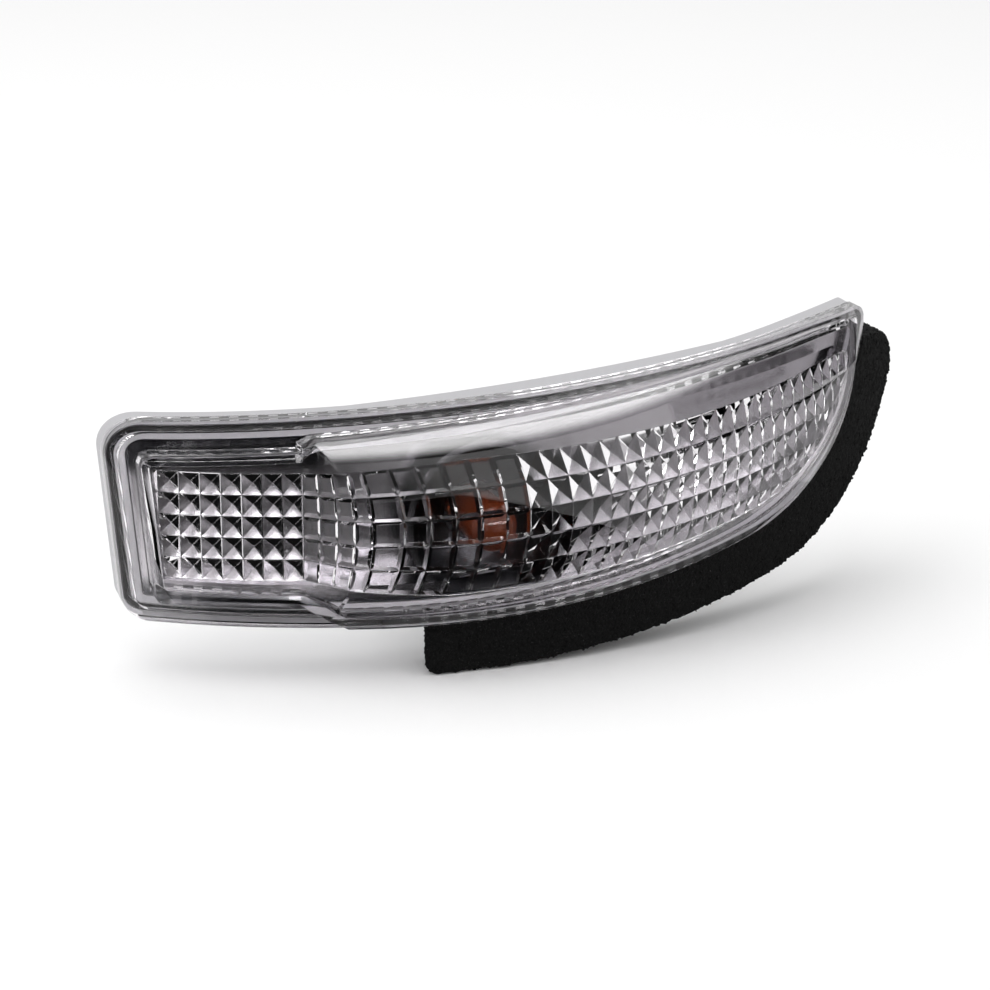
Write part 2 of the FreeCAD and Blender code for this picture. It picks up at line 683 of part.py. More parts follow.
def make_bulb_socket():
    """Twist-in socket: lugs, sealing flange, ribbed grip and connector shroud in one moulding."""
    flange_front = boss_face_y + gasket_thickness
    flange_back = flange_front + socket_flange_depth
    body = turned(socket_radius, flange_front - socket_front_y, bulb_x, socket_front_y, bulb_z)
    flange = turned(socket_flange_radius, socket_flange_depth, bulb_x, flange_front, bulb_z)
    grip = turned(socket_grip_radius, socket_grip_length, bulb_x, flange_back, bulb_z)
    shroud_front = flange_back + socket_grip_length
    shroud = Part.makeBox(shroud_width, shroud_length, shroud_height,
                          Vector(bulb_x - shroud_width / 2, shroud_front, bulb_z - shroud_height / 2))
    long_edges = [e for e in shroud.Edges if abs(e.BoundBox.YLength - shroud_length) < 0.01]
    shroud = shroud.makeFillet(1.2, long_edges)
    lugs = socket_lugs(socket_radius - 0.5, 0, socket_lug_length,
                       boss_face_y - boss_wall - socket_lug_length - 0.1)
    lugs = [lug.cut(turned(socket_radius - 0.6, 60, bulb_x, 0, bulb_z)) for lug in lugs]
    ribs = []
    for n in range(grip_rib_count):
        rib = Part.makeBox(grip_rib_height + 1, socket_grip_length, 1.4,
                           Vector(socket_grip_radius - 1, flange_back, -0.7))
        rib.rotate(Vector(0, 0, 0), Vector(0, 1, 0), 360 * n / grip_rib_count)
        rib.translate(Vector(bulb_x, 0, bulb_z))
        ribs.append(rib)
    solid = body.fuse([flange, grip, shroud] + lugs + ribs)

    bottom = bulb_tip_y + bulb_body_length + bulb_neck_length + wedge_length
    pocket_end = bottom + 2 * lead_radius
    neck = turned(bulb_radius + 0.4, bulb_tip_y + bulb_body_length + bulb_neck_length - socket_front_y,
                  bulb_x, socket_front_y, bulb_z)
    slot = Part.makeBox(wedge_width + 2 * pocket_clearance, pocket_end - socket_front_y,
                        wedge_thickness + 2 * pocket_clearance,
                        Vector(bulb_x - wedge_width / 2 - pocket_clearance, socket_front_y,
                               bulb_z - wedge_thickness / 2 - pocket_clearance))
    opening = Part.makeBox(shroud_width - 2 * shroud_wall, shroud_length - 0.5, shroud_height - 2 * shroud_wall,
                           Vector(bulb_x - shroud_width / 2 + shroud_wall, shroud_front + 0.5,
                                  bulb_z - shroud_height / 2 + shroud_wall))
    solid = solid.cut([neck, slot, opening])
    for side in (-1, 1):
        reach = wedge_thickness / 2 + 2 * lead_radius
        wire_slot = Part.makeBox(lead_slot_width, pocket_end - socket_front_y, reach,
                                 Vector(side * lead_half_spacing - lead_slot_width / 2, socket_front_y,
                                        0 if side > 0 else -reach))
        wire_slot.translate(Vector(bulb_x, 0, bulb_z))
        solid = solid.cut([wire_slot] + contact_parts(side))
    return solid.removeSplitter()


def contact_parts(side):
    """Strip beside the wedge, cross bar and blade of one brass contact."""
    bottom = bulb_tip_y + bulb_body_length + bulb_neck_length + wedge_length
    pocket_end = bottom + 2 * lead_radius
    z = side * (wedge_thickness / 2 + 2 * lead_radius)
    strip_x = side * lead_half_spacing - contact_width / 2
    strip_z = z if side > 0 else z - contact_thickness
    shroud_front = boss_face_y + gasket_thickness + socket_flange_depth + socket_grip_length
    strip = Part.makeBox(contact_width, contact_length + contact_bar_depth, contact_thickness,
                         Vector(strip_x, pocket_end - contact_length, strip_z))
    top = z * side + contact_thickness
    bar_low = blade_z if side > 0 else -top
    bar_high = top if side > 0 else blade_z
    bar = Part.makeBox(blade_width, contact_bar_depth, bar_high - bar_low,
                       Vector(side * blade_half_spacing - blade_width / 2, pocket_end, bar_low))
    blade = Part.makeBox(blade_width, shroud_front + 0.5 + blade_length - pocket_end, blade_thickness,
                         Vector(side * blade_half_spacing - blade_width / 2, pocket_end,
                                blade_z - blade_thickness / 2))
    pieces = [strip, bar, blade]
    for piece in pieces:
        piece.translate(Vector(bulb_x, 0, bulb_z))
    return pieces


def make_contact(side):
    """One brass contact: spring strip on the bulb's lead wire and blade in the connector."""
    strip, bar, blade = contact_parts(side)
    return strip.fuse([bar, blade]).removeSplitter()


def make_socket_gasket():
    """Rubber ring between the socket's flange and the shell's boss."""
    ring = turned(socket_flange_radius - 0.2, gasket_thickness, bulb_x, boss_face_y, bulb_z)
    hole = turned(socket_flange_radius - 0.2 - gasket_width, gasket_thickness, bulb_x, boss_face_y, bulb_z)
    return ring.cut(hole)


def make_vent_patch():
    """Breather membrane seated in its ring on the back."""
    top = shell_back_y + vent_ring_height
    return turned(vent_radius, vent_patch_thickness, vent_x, top - vent_patch_thickness, vent_z)


def make_foam_strip():
    """Foam strip following the lower edge from the middle round to the horn."""
    band = outline_bar(-foam_outset).translated(Vector(foam_shift_x, 0, foam_shift_z))
    corner = Vector(foam_start_x, -60, foam_top_z - 200)
    band = band.common(Part.makeBox(200, 260, 200, corner))
    ends = [e for e in band.Edges if abs(e.BoundBox.YLength - e.Length) < 0.01]
    top_end = max(ends, key=lambda e: e.CenterOfMass.x + e.CenterOfMass.z)
    band = band.makeFillet(foam_top_round, [top_end])
    strip = band.common(behind_barrel(foam_radius, foam_front_y)).cut(behind_barrel(foam_radius, foam_back_y))
    flange_back = lens_rim_depth + shell_flange_depth
    flange_room = outline_bar(shell_inset).cut(behind_rim(flange_back))
    lens_room = outline_bar(-foam_clearance).cut(behind_rim(lens_rim_depth + foam_clearance))
    body_room = outline_bar(shell_body_inset)
    above = body_room.translated(Vector(0, 0, foam_thickness))
    return strip.cut([flange_room, lens_room, body_room, above])


def build():
    """Every piece of the lamp by name, in the lamp's modelling axes."""
    return {
        "outer_lens": make_outer_lens(),
        "lens_seal": make_lens_seal(),
        "reflector": make_reflector(),
        "back_shell": make_back_shell(),
        "bulb_glass": make_bulb_glass(),
        "bulb_lead_left": make_lead(-1),
        "bulb_lead_right": make_lead(1),
        "bulb_filament": make_filament(),
        "bulb_socket": make_bulb_socket(),
        "contact_left": make_contact(-1),
        "contact_right": make_contact(1),
        "socket_gasket": make_socket_gasket(),
        "vent_patch": make_vent_patch(),
        "foam_strip": make_foam_strip(),
    }


if __name__ == "__main__":
    os.makedirs("parts", exist_ok=True)
    origin = Vector(main_boss_x, screw_plane_y, main_boss_z)
    for name, shape in build().items():
        piece = shape.Solids[0] if len(shape.Solids) == 1 else shape
        piece.translate(origin * -1)
        piece.exportStep("parts/" + name + ".step")
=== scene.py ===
"""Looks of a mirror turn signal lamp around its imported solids."""
import math

import bmesh
import bpy
import numpy as np
from bpy.props import FloatProperty, FloatVectorProperty, PointerProperty
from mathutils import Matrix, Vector


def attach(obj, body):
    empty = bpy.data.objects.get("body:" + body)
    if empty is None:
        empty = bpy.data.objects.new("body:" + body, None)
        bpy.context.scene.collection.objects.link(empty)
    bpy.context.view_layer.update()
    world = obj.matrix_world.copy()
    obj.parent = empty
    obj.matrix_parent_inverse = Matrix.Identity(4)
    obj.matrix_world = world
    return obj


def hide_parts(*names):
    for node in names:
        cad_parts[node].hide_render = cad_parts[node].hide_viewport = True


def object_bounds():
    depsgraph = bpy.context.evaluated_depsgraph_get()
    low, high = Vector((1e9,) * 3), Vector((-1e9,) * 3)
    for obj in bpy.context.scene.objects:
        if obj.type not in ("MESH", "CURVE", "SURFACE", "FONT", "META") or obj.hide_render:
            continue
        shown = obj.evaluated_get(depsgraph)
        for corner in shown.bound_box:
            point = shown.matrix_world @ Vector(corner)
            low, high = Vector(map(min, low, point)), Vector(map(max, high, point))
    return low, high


bl_info = {
    "name": "Mirror turn signal lamp",
    "version": (1, 0, 0),
    "blender": (4, 5, 0),
    "location": "View3D > Sidebar > Lamp",
    "description": "Dresses the packed lamp and sets its studio",
    "category": "Object",
}

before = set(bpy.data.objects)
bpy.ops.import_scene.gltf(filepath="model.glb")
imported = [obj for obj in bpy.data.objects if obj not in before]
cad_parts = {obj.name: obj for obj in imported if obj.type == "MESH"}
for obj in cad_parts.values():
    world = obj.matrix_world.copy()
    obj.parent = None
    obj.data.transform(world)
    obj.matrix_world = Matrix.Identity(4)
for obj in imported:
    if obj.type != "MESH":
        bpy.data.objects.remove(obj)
CAD_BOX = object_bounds()

MM = 0.001
# The frame's origin in the lamp's own drawing axes, in mm
DRAWING_ORIGIN = Vector((26.0, 38.0, 2.0))
# Surfaces of the drawing that the smooth finish follows, in mm
RIM_AXIS_Y = 130.0
DOME_RADIUS = 122.0
DOME_HEIGHT = 9.2
DOME_CROWN = 50.0
DOME_AXIS = Vector((0.0, DOME_RADIUS - DOME_HEIGHT, -3.0))
DOME_TILT = math.radians(6.0)
REFLECTOR_RADIUS = 165.0
REFLECTOR_DEPTH = 11.5
REFLECTOR_AXIS_Y = REFLECTOR_DEPTH + REFLECTOR_RADIUS
# A face belongs to such a surface if its corners lie this evenly on it, in mm, and the cosine
# between its normal and the surface's own is above this
ON_SURFACE = 0.02
ALONG_SURFACE = 0.985
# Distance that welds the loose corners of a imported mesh, in m
WELD = 2e-6

# The bulb stands on this axis of the drawing. Shade is painted on the metal nearer to it than the first
# distance, fading to fully bright beyond the second, in mm
BULB_AXIS = (-9.5, 0.0, -6.5)
BOWL_SHADE_RADII = (13.5, 20.0)
# Parts of the reflector's painted shade: each fades in along an axis of the drawing, from the first
# place to the second, in mm
# The right part is painted darker than the left as shade, and the left part takes painted shade below its
# foot and at the head of its low bay
REFLECTOR_SHADE_PARTS = {
    "right_part": ("X", -8.0, 10.0),
    "above_foot": ("Z", -21.0, -16.0),
    "head": ("Z", 2.0, 6.0),
    "low_bay": ("X", -36.0, -42.0),
}

# A real grain is too fine to show, so it is drawn this many times as coarse
GRAIN_COARSER = 2

# The cut at the foam's free end leans by this much of its depth. It begins this far from the end
# and is full after a run, in m
FOAM_SLANT = math.tan(math.radians(20))
FOAM_SLANT_START = 0.016
FOAM_SLANT_RUN = 0.014
# Wear of that end's lower corner, in m
FOAM_WEAR = 0.0022
FOAM_WEAR_STEPS = 4
# Corners this near to the free end, in m, belong to it
FOAM_END = 0.001
# Finest detail of the foam's skin, in m
FOAM_VOXEL = 0.00055
# Crumbs of torn cell wall: number on a square metre, radius against a cell, and its spread
CRUMBS_PER_M2 = 260000.0
CRUMB_SHARE = 0.45
CRUMB_SPREAD = (0.5, 1.2)
CRUMB_SEED = 7

# Point of the drawing that the camera and the lights look at, in mm
TARGET = (-9.07, 0.317, 0.0)
# Studio sizes in m
FLOOR_HALF = 4.0
# Name, place from the target, width, height and power in W
SOFTBOXES = (
    ("top_softbox", (-0.2, 0.1, 1.1), 1.4, 0.9, 5.5),
    ("left_softbox", (-1.2, -0.5, 0.35), 0.9, 1.2, 4.0),
)
DARK_CLOTH = "0c0c0c"
# Outline of the dark card just above the floor, in X and Y of the frame
TABLE_FLAG = (
    (-1.4, -2.2), (-0.05, -2.2), (0.02, -0.09), (0.02, -0.05), (0.09, -0.03), (0.09, 0.03),
    (-0.094, 0.03), (-0.094, -0.04), (-0.2, -0.07), (-0.5, -0.1),
)
TABLE_FLAG_LIFT = 0.002
# Dark card that stands at the right: its X, its near and far Y, and its top
RIGHT_FLAG = (0.75, -0.75, 0.35, 0.5)
# Bright card: its distance, the angles that it spans round and above the target, in degrees, the
# number of its faces, and the share of the distance over which it brightens upwards
CARD_REACH = 0.66
CARD_AZIMUTHS = (-42.0, 70.0)
CARD_ELEVATIONS = (18.0, 33.0)
CARD_STEPS = 18
CARD_FADE = 0.12
# Dark zone of the room, in degrees: its azimuth, elevation, dark radius and outer radius
DARK_ZONE = (-35, -10, 20, 40)
# Its brightness against the rest of the room
DARK_LEVEL = 0.04


def from_hex(code):
    """sRGB hex colour as linear RGBA."""
    parts = [int(code[i:i + 2], 16) / 255 for i in (0, 2, 4)]
    linear = [c / 12.92 if c <= 0.04045 else ((c + 0.055) / 1.055) ** 2.4 for c in parts]
    return (*linear, 1.0)


def placed(x, y, z):
    """Point of the drawing in mm as a point of the frame in metres."""
    return (Vector((x, y, z)) - DRAWING_ORIGIN) * MM


def toward(azimuth, elevation):
    """Unit vector at these angles, where azimuth 0 is the lamp's front."""
    return Vector((math.sin(azimuth) * math.cos(elevation),
                   -math.cos(azimuth) * math.cos(elevation), math.sin(elevation)))


class LampSettings(bpy.types.PropertyGroup):
    """Sizes and colours of the lamp's looks."""

    lens_tint: FloatVectorProperty(
        name="Lens tint", description="Colour of the clear acrylic", subtype="COLOR",
        size=4, default=from_hex("fdfbfd"), min=0, max=1)
    lens_ior: FloatProperty(
        name="Lens index", description="Refractive index of acrylic", default=1.49, min=1.3, max=1.7)
    # The reflector is one metal; right of the bulb it is painted darker than the left, as shade
    right_shaded_tint: FloatVectorProperty(
        name="Right part's tint", description="Colour of the metal right of the bulb", subtype="COLOR",
        size=4, default=from_hex("949295"), min=0, max=1)
    left_tint: FloatVectorProperty(
        name="Left part's tint", description="Colour of the metal left of the bulb", subtype="COLOR",
        size=4, default=from_hex("cccacd"), min=0, max=1)
    # Painted shade on the metal: the bulb's bowl and the left part's upper and lower margins
    painted_shade_tint: FloatVectorProperty(
        name="Dark tint", description="Colour of the bulb's bowl and the left part's margins",
        subtype="COLOR", size=4, default=from_hex("4c4c4f"), min=0, max=1)
    shell_colour: FloatVectorProperty(
        name="Shell colour", description="Colour of the grey ABS", subtype="COLOR",
        size=4, default=from_hex("b6b5b8"), min=0, max=1)
    socket_colour: FloatVectorProperty(
        name="Socket colour", description="Colour of the grey nylon", subtype="COLOR",
        size=4, default=from_hex("5a5b5e"), min=0, max=1)
    bulb_colour: FloatVectorProperty(
        name="Bulb colour", description="Colour of the amber glass", subtype="COLOR",
        size=4, default=from_hex("8c4426"), min=0, max=1)
    foam_colour: FloatVectorProperty(
        name="Foam colour", description="Colour of the cut foam", subtype="COLOR",
        size=4, default=from_hex("0c0c0c"), min=0, max=1)
    foam_cell: FloatProperty(
        name="Foam cell", description="Size of the foam's open cells", default=0.0007,
        min=0.0002, max=0.003, unit="LENGTH")
    foam_roughness: FloatProperty(
        name="Foam raggedness", description="Depth of the torn edge", default=0.0006,
        min=0, max=0.002, unit="LENGTH")
    smooth_angle: FloatProperty(
        name="Smoothing angle", description="Sharper folds than this stay sharp",
        default=math.radians(28), subtype="ANGLE")
    camera_azimuth: FloatProperty(
        name="Camera azimuth", description="Turn of the camera round the lamp",
        default=math.radians(-20), subtype="ANGLE")
    camera_elevation: FloatProperty(
        name="Camera elevation", description="Height angle of the camera",
        default=math.radians(18), subtype="ANGLE")
    camera_distance: FloatProperty(
        name="Camera distance", description="From the camera to the lens", default=0.63,
        unit="LENGTH")
    camera_lens: FloatProperty(
        name="Focal length", description="Focal length in mm", default=117.5)
    floor_colour: FloatVectorProperty(
        name="Floor colour", description="Colour of the studio floor", subtype="COLOR",
        size=4, default=from_hex("fefefe"), min=0, max=1)
    room_level: FloatProperty(
        name="Room level", description="Brightness of the studio round the lamp", default=0.75,
        min=0, max=2)
    card_level: FloatProperty(
        name="Card level", description="Brightness of the card that lights the dome's top", default=8.0,
        min=0, max=20)
    edge_round: FloatProperty(
        name="Edge rounding", description="Radius that moulded edges shade with", default=0.00015,
        unit="LENGTH")


def settings():
    """The scene's lamp settings."""
    return bpy.context.scene.lamp_settings


def put(name, data):
    """New object of the scene with this mesh, light or camera."""
    made = bpy.data.objects.new(name, data)
    bpy.context.scene.collection.objects.link(made)
    return made


def add(tree, kind, inputs=None, **options):
    """Adds a node, sets its options, and fills or links its inputs."""
    made = tree.nodes.new(kind)
    for name, value in options.items():
        setattr(made, name, value)
    for name, value in (inputs or {}).items():
        socket = made.inputs[name]
        if isinstance(value, bpy.types.NodeSocket):
            tree.links.new(value, socket)
        else:
            socket.default_value = value
    return made


def new_material(name):
    """Empty node material and its tree."""
    made = bpy.data.materials.new(name)
    made.use_nodes = True
    made.node_tree.nodes.clear()
    return made, made.node_tree


def close_material(tree, shader):
    """Sends a shader to the material's output."""
    add(tree, "ShaderNodeOutputMaterial", {"Surface": shader})


def clear_acrylic():
    """Injection-moulded PMMA: clear and glossy, with the faintest waviness from the mould."""
    made, tree = new_material("clear_acrylic_moulded")
    place = add(tree, "ShaderNodeTexCoord").outputs["Object"]
    # Waves 17 mm long, and edges that catch light as if slightly rounded
    wave = add(tree, "ShaderNodeTexNoise", {"Vector": place, "Scale": 60.0, "Detail": 1.0})
    soft = add(tree, "ShaderNodeBevel", {"Radius": settings().edge_round}, samples=4)
    bump = add(tree, "ShaderNodeBump", {"Height": wave.outputs[0], "Strength": 0.02, "Distance": 0.0002,
                                        "Normal": soft.outputs[0]})
    body = add(tree, "ShaderNodeBsdfPrincipled", {
        "Base Color": tuple(settings().lens_tint), "Roughness": 0.01, "IOR": settings().lens_ior,
        "Transmission Weight": 1.0, "Normal": bump.outputs[0]})
    # Shadows fall through it with little loss, as through thin clear plastic
    through = add(tree, "ShaderNodeBsdfTransparent", {"Color": from_hex("f2f2f2")})
    path = add(tree, "ShaderNodeLightPath")
    mixed = add(tree, "ShaderNodeMixShader", {
        0: path.outputs["Is Shadow Ray"], 1: body.outputs[0], 2: through.outputs[0]})
    close_material(tree, mixed.outputs[0])
    return made


def vacuum_metal():
    """Vacuum-metallised ABS: a satin aluminium sheen, with shade painted round the bulb and at the left
    margins, and painted darker right of the bulb.
    """
    made, tree = new_material("vacuum_metallised_abs")
    place = add(tree, "ShaderNodeTexCoord").outputs["Object"]
    # Clouds of haze 8 mm across
    haze = add(tree, "ShaderNodeTexNoise", {"Vector": place, "Scale": 120.0, "Detail": 2.0})
    rough = add(tree, "ShaderNodeMapRange", {"Value": haze.outputs[0], "To Min": 0.19, "To Max": 0.25})
    axis = placed(*BULB_AXIS)
    out = add(tree, "ShaderNodeVectorMath", {0: place, 1: (axis.x, 0.0, axis.z)}, operation="SUBTRACT")
    flat = add(tree, "ShaderNodeVectorMath", {0: out.outputs[0], 1: (1.0, 0.0, 1.0)}, operation="MULTIPLY")
    away = add(tree, "ShaderNodeVectorMath", {0: flat.outputs[0]}, operation="LENGTH")
    # Shade is painted on the metal round the bulb, where the bowl reflects dark things
    inner, outer = BOWL_SHADE_RADII
    outside_bowl_shade = add(tree, "ShaderNodeMapRange", {
        "Value": away.outputs["Value"], "From Min": inner * MM, "From Max": outer * MM},
        interpolation_type="SMOOTHSTEP")
    along = add(tree, "ShaderNodeSeparateXYZ", {0: place})
    part = {}
    for name, (side, start, full) in REFLECTOR_SHADE_PARTS.items():
        i = "XYZ".index(side)
        part[name] = add(tree, "ShaderNodeMapRange", {
            "Value": along.outputs[i], "From Min": (start - DRAWING_ORIGIN[i]) * MM,
            "From Max": (full - DRAWING_ORIGIN[i]) * MM}, interpolation_type="SMOOTHSTEP").outputs[0]
    # Shade is painted on the left part at the head of its low bay and below its foot
    painted_margin_shade = add(tree, "ShaderNodeMath", {0: part["head"], 1: part["low_bay"]}, operation="MULTIPLY")
    bright = add(tree, "ShaderNodeMath", {0: part["above_foot"], 1: painted_margin_shade.outputs[0]},
                 operation="SUBTRACT", use_clamp=True)
    left = add(tree, "ShaderNodeMix", {
        "Factor": bright.outputs[0], 6: tuple(settings().painted_shade_tint), 7: tuple(settings().left_tint)},
        data_type="RGBA")
    # Right of the bulb the metal is painted darker, as shade
    metal = add(tree, "ShaderNodeMix", {
        "Factor": part["right_part"], 6: left.outputs[2], 7: tuple(settings().right_shaded_tint)},
        data_type="RGBA")
    # The bowl round the bulb takes the painted shade
    tint = add(tree, "ShaderNodeMix", {
        "Factor": outside_bowl_shade.outputs[0], 6: tuple(settings().painted_shade_tint), 7: metal.outputs[2]},
        data_type="RGBA")
    body = add(tree, "ShaderNodeBsdfPrincipled", {
        "Base Color": tint.outputs[2], "Metallic": 1.0, "Roughness": rough.outputs[0]})
    close_material(tree, body.outputs[0])
    return made


def grained_moulding(name, colour, grain_mm, roughness, strength):
    """Moulded plastic or rubber with a grain of a given size: a soft, faintly pebbled sheen."""
    made, tree = new_material(name)
    place = add(tree, "ShaderNodeTexCoord").outputs["Object"]
    grain = add(tree, "ShaderNodeTexNoise", {
        "Vector": place, "Scale": 1 / (grain_mm * MM * GRAIN_COARSER), "Detail": 3.0})
    # Patches 11 mm across that shine a little more or less
    cloud = add(tree, "ShaderNodeTexNoise", {"Vector": place, "Scale": 90.0, "Detail": 2.0})
    rough = add(tree, "ShaderNodeMapRange", {
        "Value": cloud.outputs[0], "To Min": roughness - 0.06, "To Max": roughness + 0.06})
    bump = add(tree, "ShaderNodeBump", {
        "Height": grain.outputs[0], "Strength": strength, "Distance": grain_mm * MM * 0.4})
    body = add(tree, "ShaderNodeBsdfPrincipled", {
        "Base Color": colour, "Roughness": rough.outputs[0], "Normal": bump.outputs[0]})
    close_material(tree, body.outputs[0])
    return made


def amber_glass():
    """Amber bulb glass, blown and coloured through: glossy, orange and half see-through."""
    made, tree = new_material("amber_bulb_glass")
    place = add(tree, "ShaderNodeTexCoord").outputs["Object"]
    # Ripples 5 mm long
    ripple = add(tree, "ShaderNodeTexNoise", {"Vector": place, "Scale": 200.0, "Detail": 1.0})
    bump = add(tree, "ShaderNodeBump", {
        "Height": ripple.outputs[0], "Strength": 0.05, "Distance": 0.0002})
    body = add(tree, "ShaderNodeBsdfPrincipled", {
        "Base Color": tuple(settings().bulb_colour), "Roughness": 0.03, "IOR": 1.5,
        "Transmission Weight": 0.75, "Normal": bump.outputs[0]})
    close_material(tree, body.outputs[0])
    return made


def drawn_metal(name, colour, roughness):
    """Drawn or stamped metal: a sheen that is streaked along its length."""
    made, tree = new_material(name)
    place = add(tree, "ShaderNodeTexCoord").outputs["Object"]
    # The lines are too fine to show, so they are drawn 0.1 mm apart and 3 mm long
    stretch = add(tree, "ShaderNodeMapping", {"Vector": place, "Scale": (9000.0, 300.0, 9000.0)})
    lines = add(tree, "ShaderNodeTexNoise", {"Vector": stretch.outputs[0], "Scale": 1.0, "Detail": 2.0})
    rough = add(tree, "ShaderNodeMapRange", {
        "Value": lines.outputs[0], "To Min": roughness - 0.08, "To Max": roughness + 0.08})
    body = add(tree, "ShaderNodeBsdfPrincipled", {
        "Base Color": colour, "Metallic": 1.0, "Roughness": rough.outputs[0]})
    close_material(tree, body.outputs[0])
    return made


def cut_foam():
    """Open-cell polyurethane foam, cut and torn: matt black walls round darker pores."""
    made, tree = new_material("cut_polyurethane_foam")
    cell = settings().foam_cell
    place = add(tree, "ShaderNodeTexCoord").outputs["Object"]
    cells = add(tree, "ShaderNodeTexVoronoi", {"Vector": place, "Scale": 1 / cell})
    fine = add(tree, "ShaderNodeTexNoise", {"Vector": place, "Scale": 2.5 / cell, "Detail": 3.0})
    height = add(tree, "ShaderNodeMath", {
        0: cells.outputs["Distance"], 1: fine.outputs[0]}, operation="ADD")
    bump = add(tree, "ShaderNodeBump", {
        "Height": height.outputs[0], "Strength": 0.9, "Distance": cell * 0.8})
    pores = add(tree, "ShaderNodeMapRange", {
        "Value": cells.outputs["Distance"], "From Max": 0.6, "To Min": 1.0, "To Max": 0.25})
    colour = add(tree, "ShaderNodeVectorMath", {
        0: tuple(settings().foam_colour)[:3], 1: pores.outputs[0]}, operation="MULTIPLY")
    body = add(tree, "ShaderNodeBsdfPrincipled", {
        "Base Color": colour.outputs[0], "Roughness": 0.95, "Specular IOR Level": 0.2,
        "Normal": bump.outputs[0]})
    close_material(tree, body.outputs[0])
    return made


def breather_membrane():
    """Stretched fluoropolymer felt: matt, off-white and faintly fibrous."""
    made, tree = new_material("breather_membrane")
    place = add(tree, "ShaderNodeTexCoord").outputs["Object"]
    # The fibres are too fine to show, so they are drawn 0.3 mm wide
    felt = add(tree, "ShaderNodeTexNoise", {"Vector": place, "Scale": 3500.0, "Detail": 4.0})
    bump = add(tree, "ShaderNodeBump", {"Height": felt.outputs[0], "Strength": 0.4, "Distance": 0.0001})
    body = add(tree, "ShaderNodeBsdfPrincipled", {
        "Base Color": from_hex("dcdcd6"), "Roughness": 0.8, "Normal": bump.outputs[0]})
    close_material(tree, body.outputs[0])
    return made


def dress(obj, material):
    """Gives an object one material."""
    obj.data.materials.clear()
    obj.data.materials.append(material)
    for face in obj.data.polygons:
        face.material_index = 0


def dome_terms(points):
    """Distance from the dome's ring line and the outward direction, for points in mm."""
    local = points - np.array(DOME_AXIS)
    c, s = math.cos(DOME_TILT), math.sin(DOME_TILT)
    along = local[:, 0] * c + local[:, 2] * s
    across = local[:, 2] * c - local[:, 0] * s
    depth = local[:, 1]
    flat = np.hypot(along, depth)
    ring = DOME_RADIUS - DOME_CROWN
    out_flat = flat - ring
    distance = np.hypot(out_flat, across)
    a = out_flat * along / flat / distance
    d = out_flat * depth / flat / distance
    v = across / distance
    normal = np.stack([a * c - v * s, d, a * s + v * c], axis=1)
    return distance, normal


def barrel_terms(points, axis_y):
    """Distance from an upright axis and the outward direction, for points in mm."""
    flat = points[:, :2] - np.array([0.0, axis_y])
    distance = np.hypot(flat[:, 0], flat[:, 1])
    normal = np.zeros_like(points)
    normal[:, :2] = flat / distance[:, None]
    return distance, normal


def welded_copy(node, name):
    """Copy of a CAD node's mesh as one welded surface without material or stored normals."""
    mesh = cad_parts[node].data.copy()
    mesh.name = name
    mesh.materials.clear()
    mesh.attributes.remove(mesh.attributes["custom_normal"])
    work = bmesh.new()
    work.from_mesh(mesh)
    bmesh.ops.remove_doubles(work, verts=work.verts, dist=WELD)
    work.to_mesh(mesh)
    work.free()
    return mesh


def smooth_copy(node, name, axes, dome=False):
    """Copy of a CAD node whose curved faces shade as the drawing's barrels and dome do."""
    mesh = welded_copy(node, name)
    for face in mesh.polygons:
        face.use_smooth = True
    mesh.set_sharp_from_angle(angle=settings().smooth_angle)
    count = len(mesh.loops)
    normals = np.zeros(count * 3)
    mesh.corner_normals.foreach_get("vector", normals)
    normals = normals.reshape(-1, 3)
    corners = np.zeros(count, dtype=np.int64)
    mesh.loops.foreach_get("vertex_index", corners)
    points = np.zeros(len(mesh.vertices) * 3)
    mesh.vertices.foreach_get("co", points)
    points = points.reshape(-1, 3) / MM + np.array(DRAWING_ORIGIN)
    flat = np.zeros(len(mesh.polygons) * 3)
    mesh.polygons.foreach_get("normal", flat)
    flat = np.repeat(flat.reshape(-1, 3), 3, axis=0)
    guides = [barrel_terms(points, y) for y in axes]
    if dome:
        guides.append(dome_terms(points))
    # A face that lies on a drawn surface takes that surface's direction at each corner
    for distance, direction in guides:
        reach = distance[corners].reshape(-1, 3)
        level = np.repeat(np.ptp(reach, axis=1) < ON_SURFACE, 3)
        turn = np.einsum("ij,ij->i", direction[corners], flat)
        fits = level & (np.abs(turn) > ALONG_SURFACE)
        normals[fits] = direction[corners][fits] * np.sign(turn[fits])[:, None]
    mesh.normals_split_custom_set(normals.tolist())
    return put(name, mesh)


class LAMP_OT_lens(bpy.types.Operator):
    """Clear lens with its moulded prisms"""

    bl_idname = "lamp.lens"
    bl_label = "Outer lens"

    def execute(self, context):
        lens = smooth_copy("outer_lens", "clear_outer_lens", [RIM_AXIS_Y], dome=True)
        dress(lens, clear_acrylic())
        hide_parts("outer_lens")
        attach(lens, "root")
        return {"FINISHED"}


class LAMP_OT_reflector(bpy.types.Operator):
    """Metallised reflector behind the lens"""

    bl_idname = "lamp.reflector"
    bl_label = "Reflector"

    def execute(self, context):
        bowl = smooth_copy("reflector", "metallised_reflector", [RIM_AXIS_Y, REFLECTOR_AXIS_Y])
        dress(bowl, vacuum_metal())
        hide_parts("reflector")
        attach(bowl, "root")
        return {"FINISHED"}


class LAMP_OT_shell(bpy.types.Operator):
    """Back shell, its sealing bead and the breather"""

    bl_idname = "lamp.shell"
    bl_label = "Back shell"

    def execute(self, context):
        # Spark-eroded ABS is pale and dull, and a butyl bead is black with a soft shine
        dress(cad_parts["back_shell"],
              grained_moulding("grey_abs_grained", tuple(settings().shell_colour), 0.25, 0.55, 0.25))
        dress(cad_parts["lens_seal"],
              grained_moulding("butyl_sealant", from_hex("121212"), 0.4, 0.45, 0.15))
        dress(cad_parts["vent_patch"], breather_membrane())
        return {"FINISHED"}


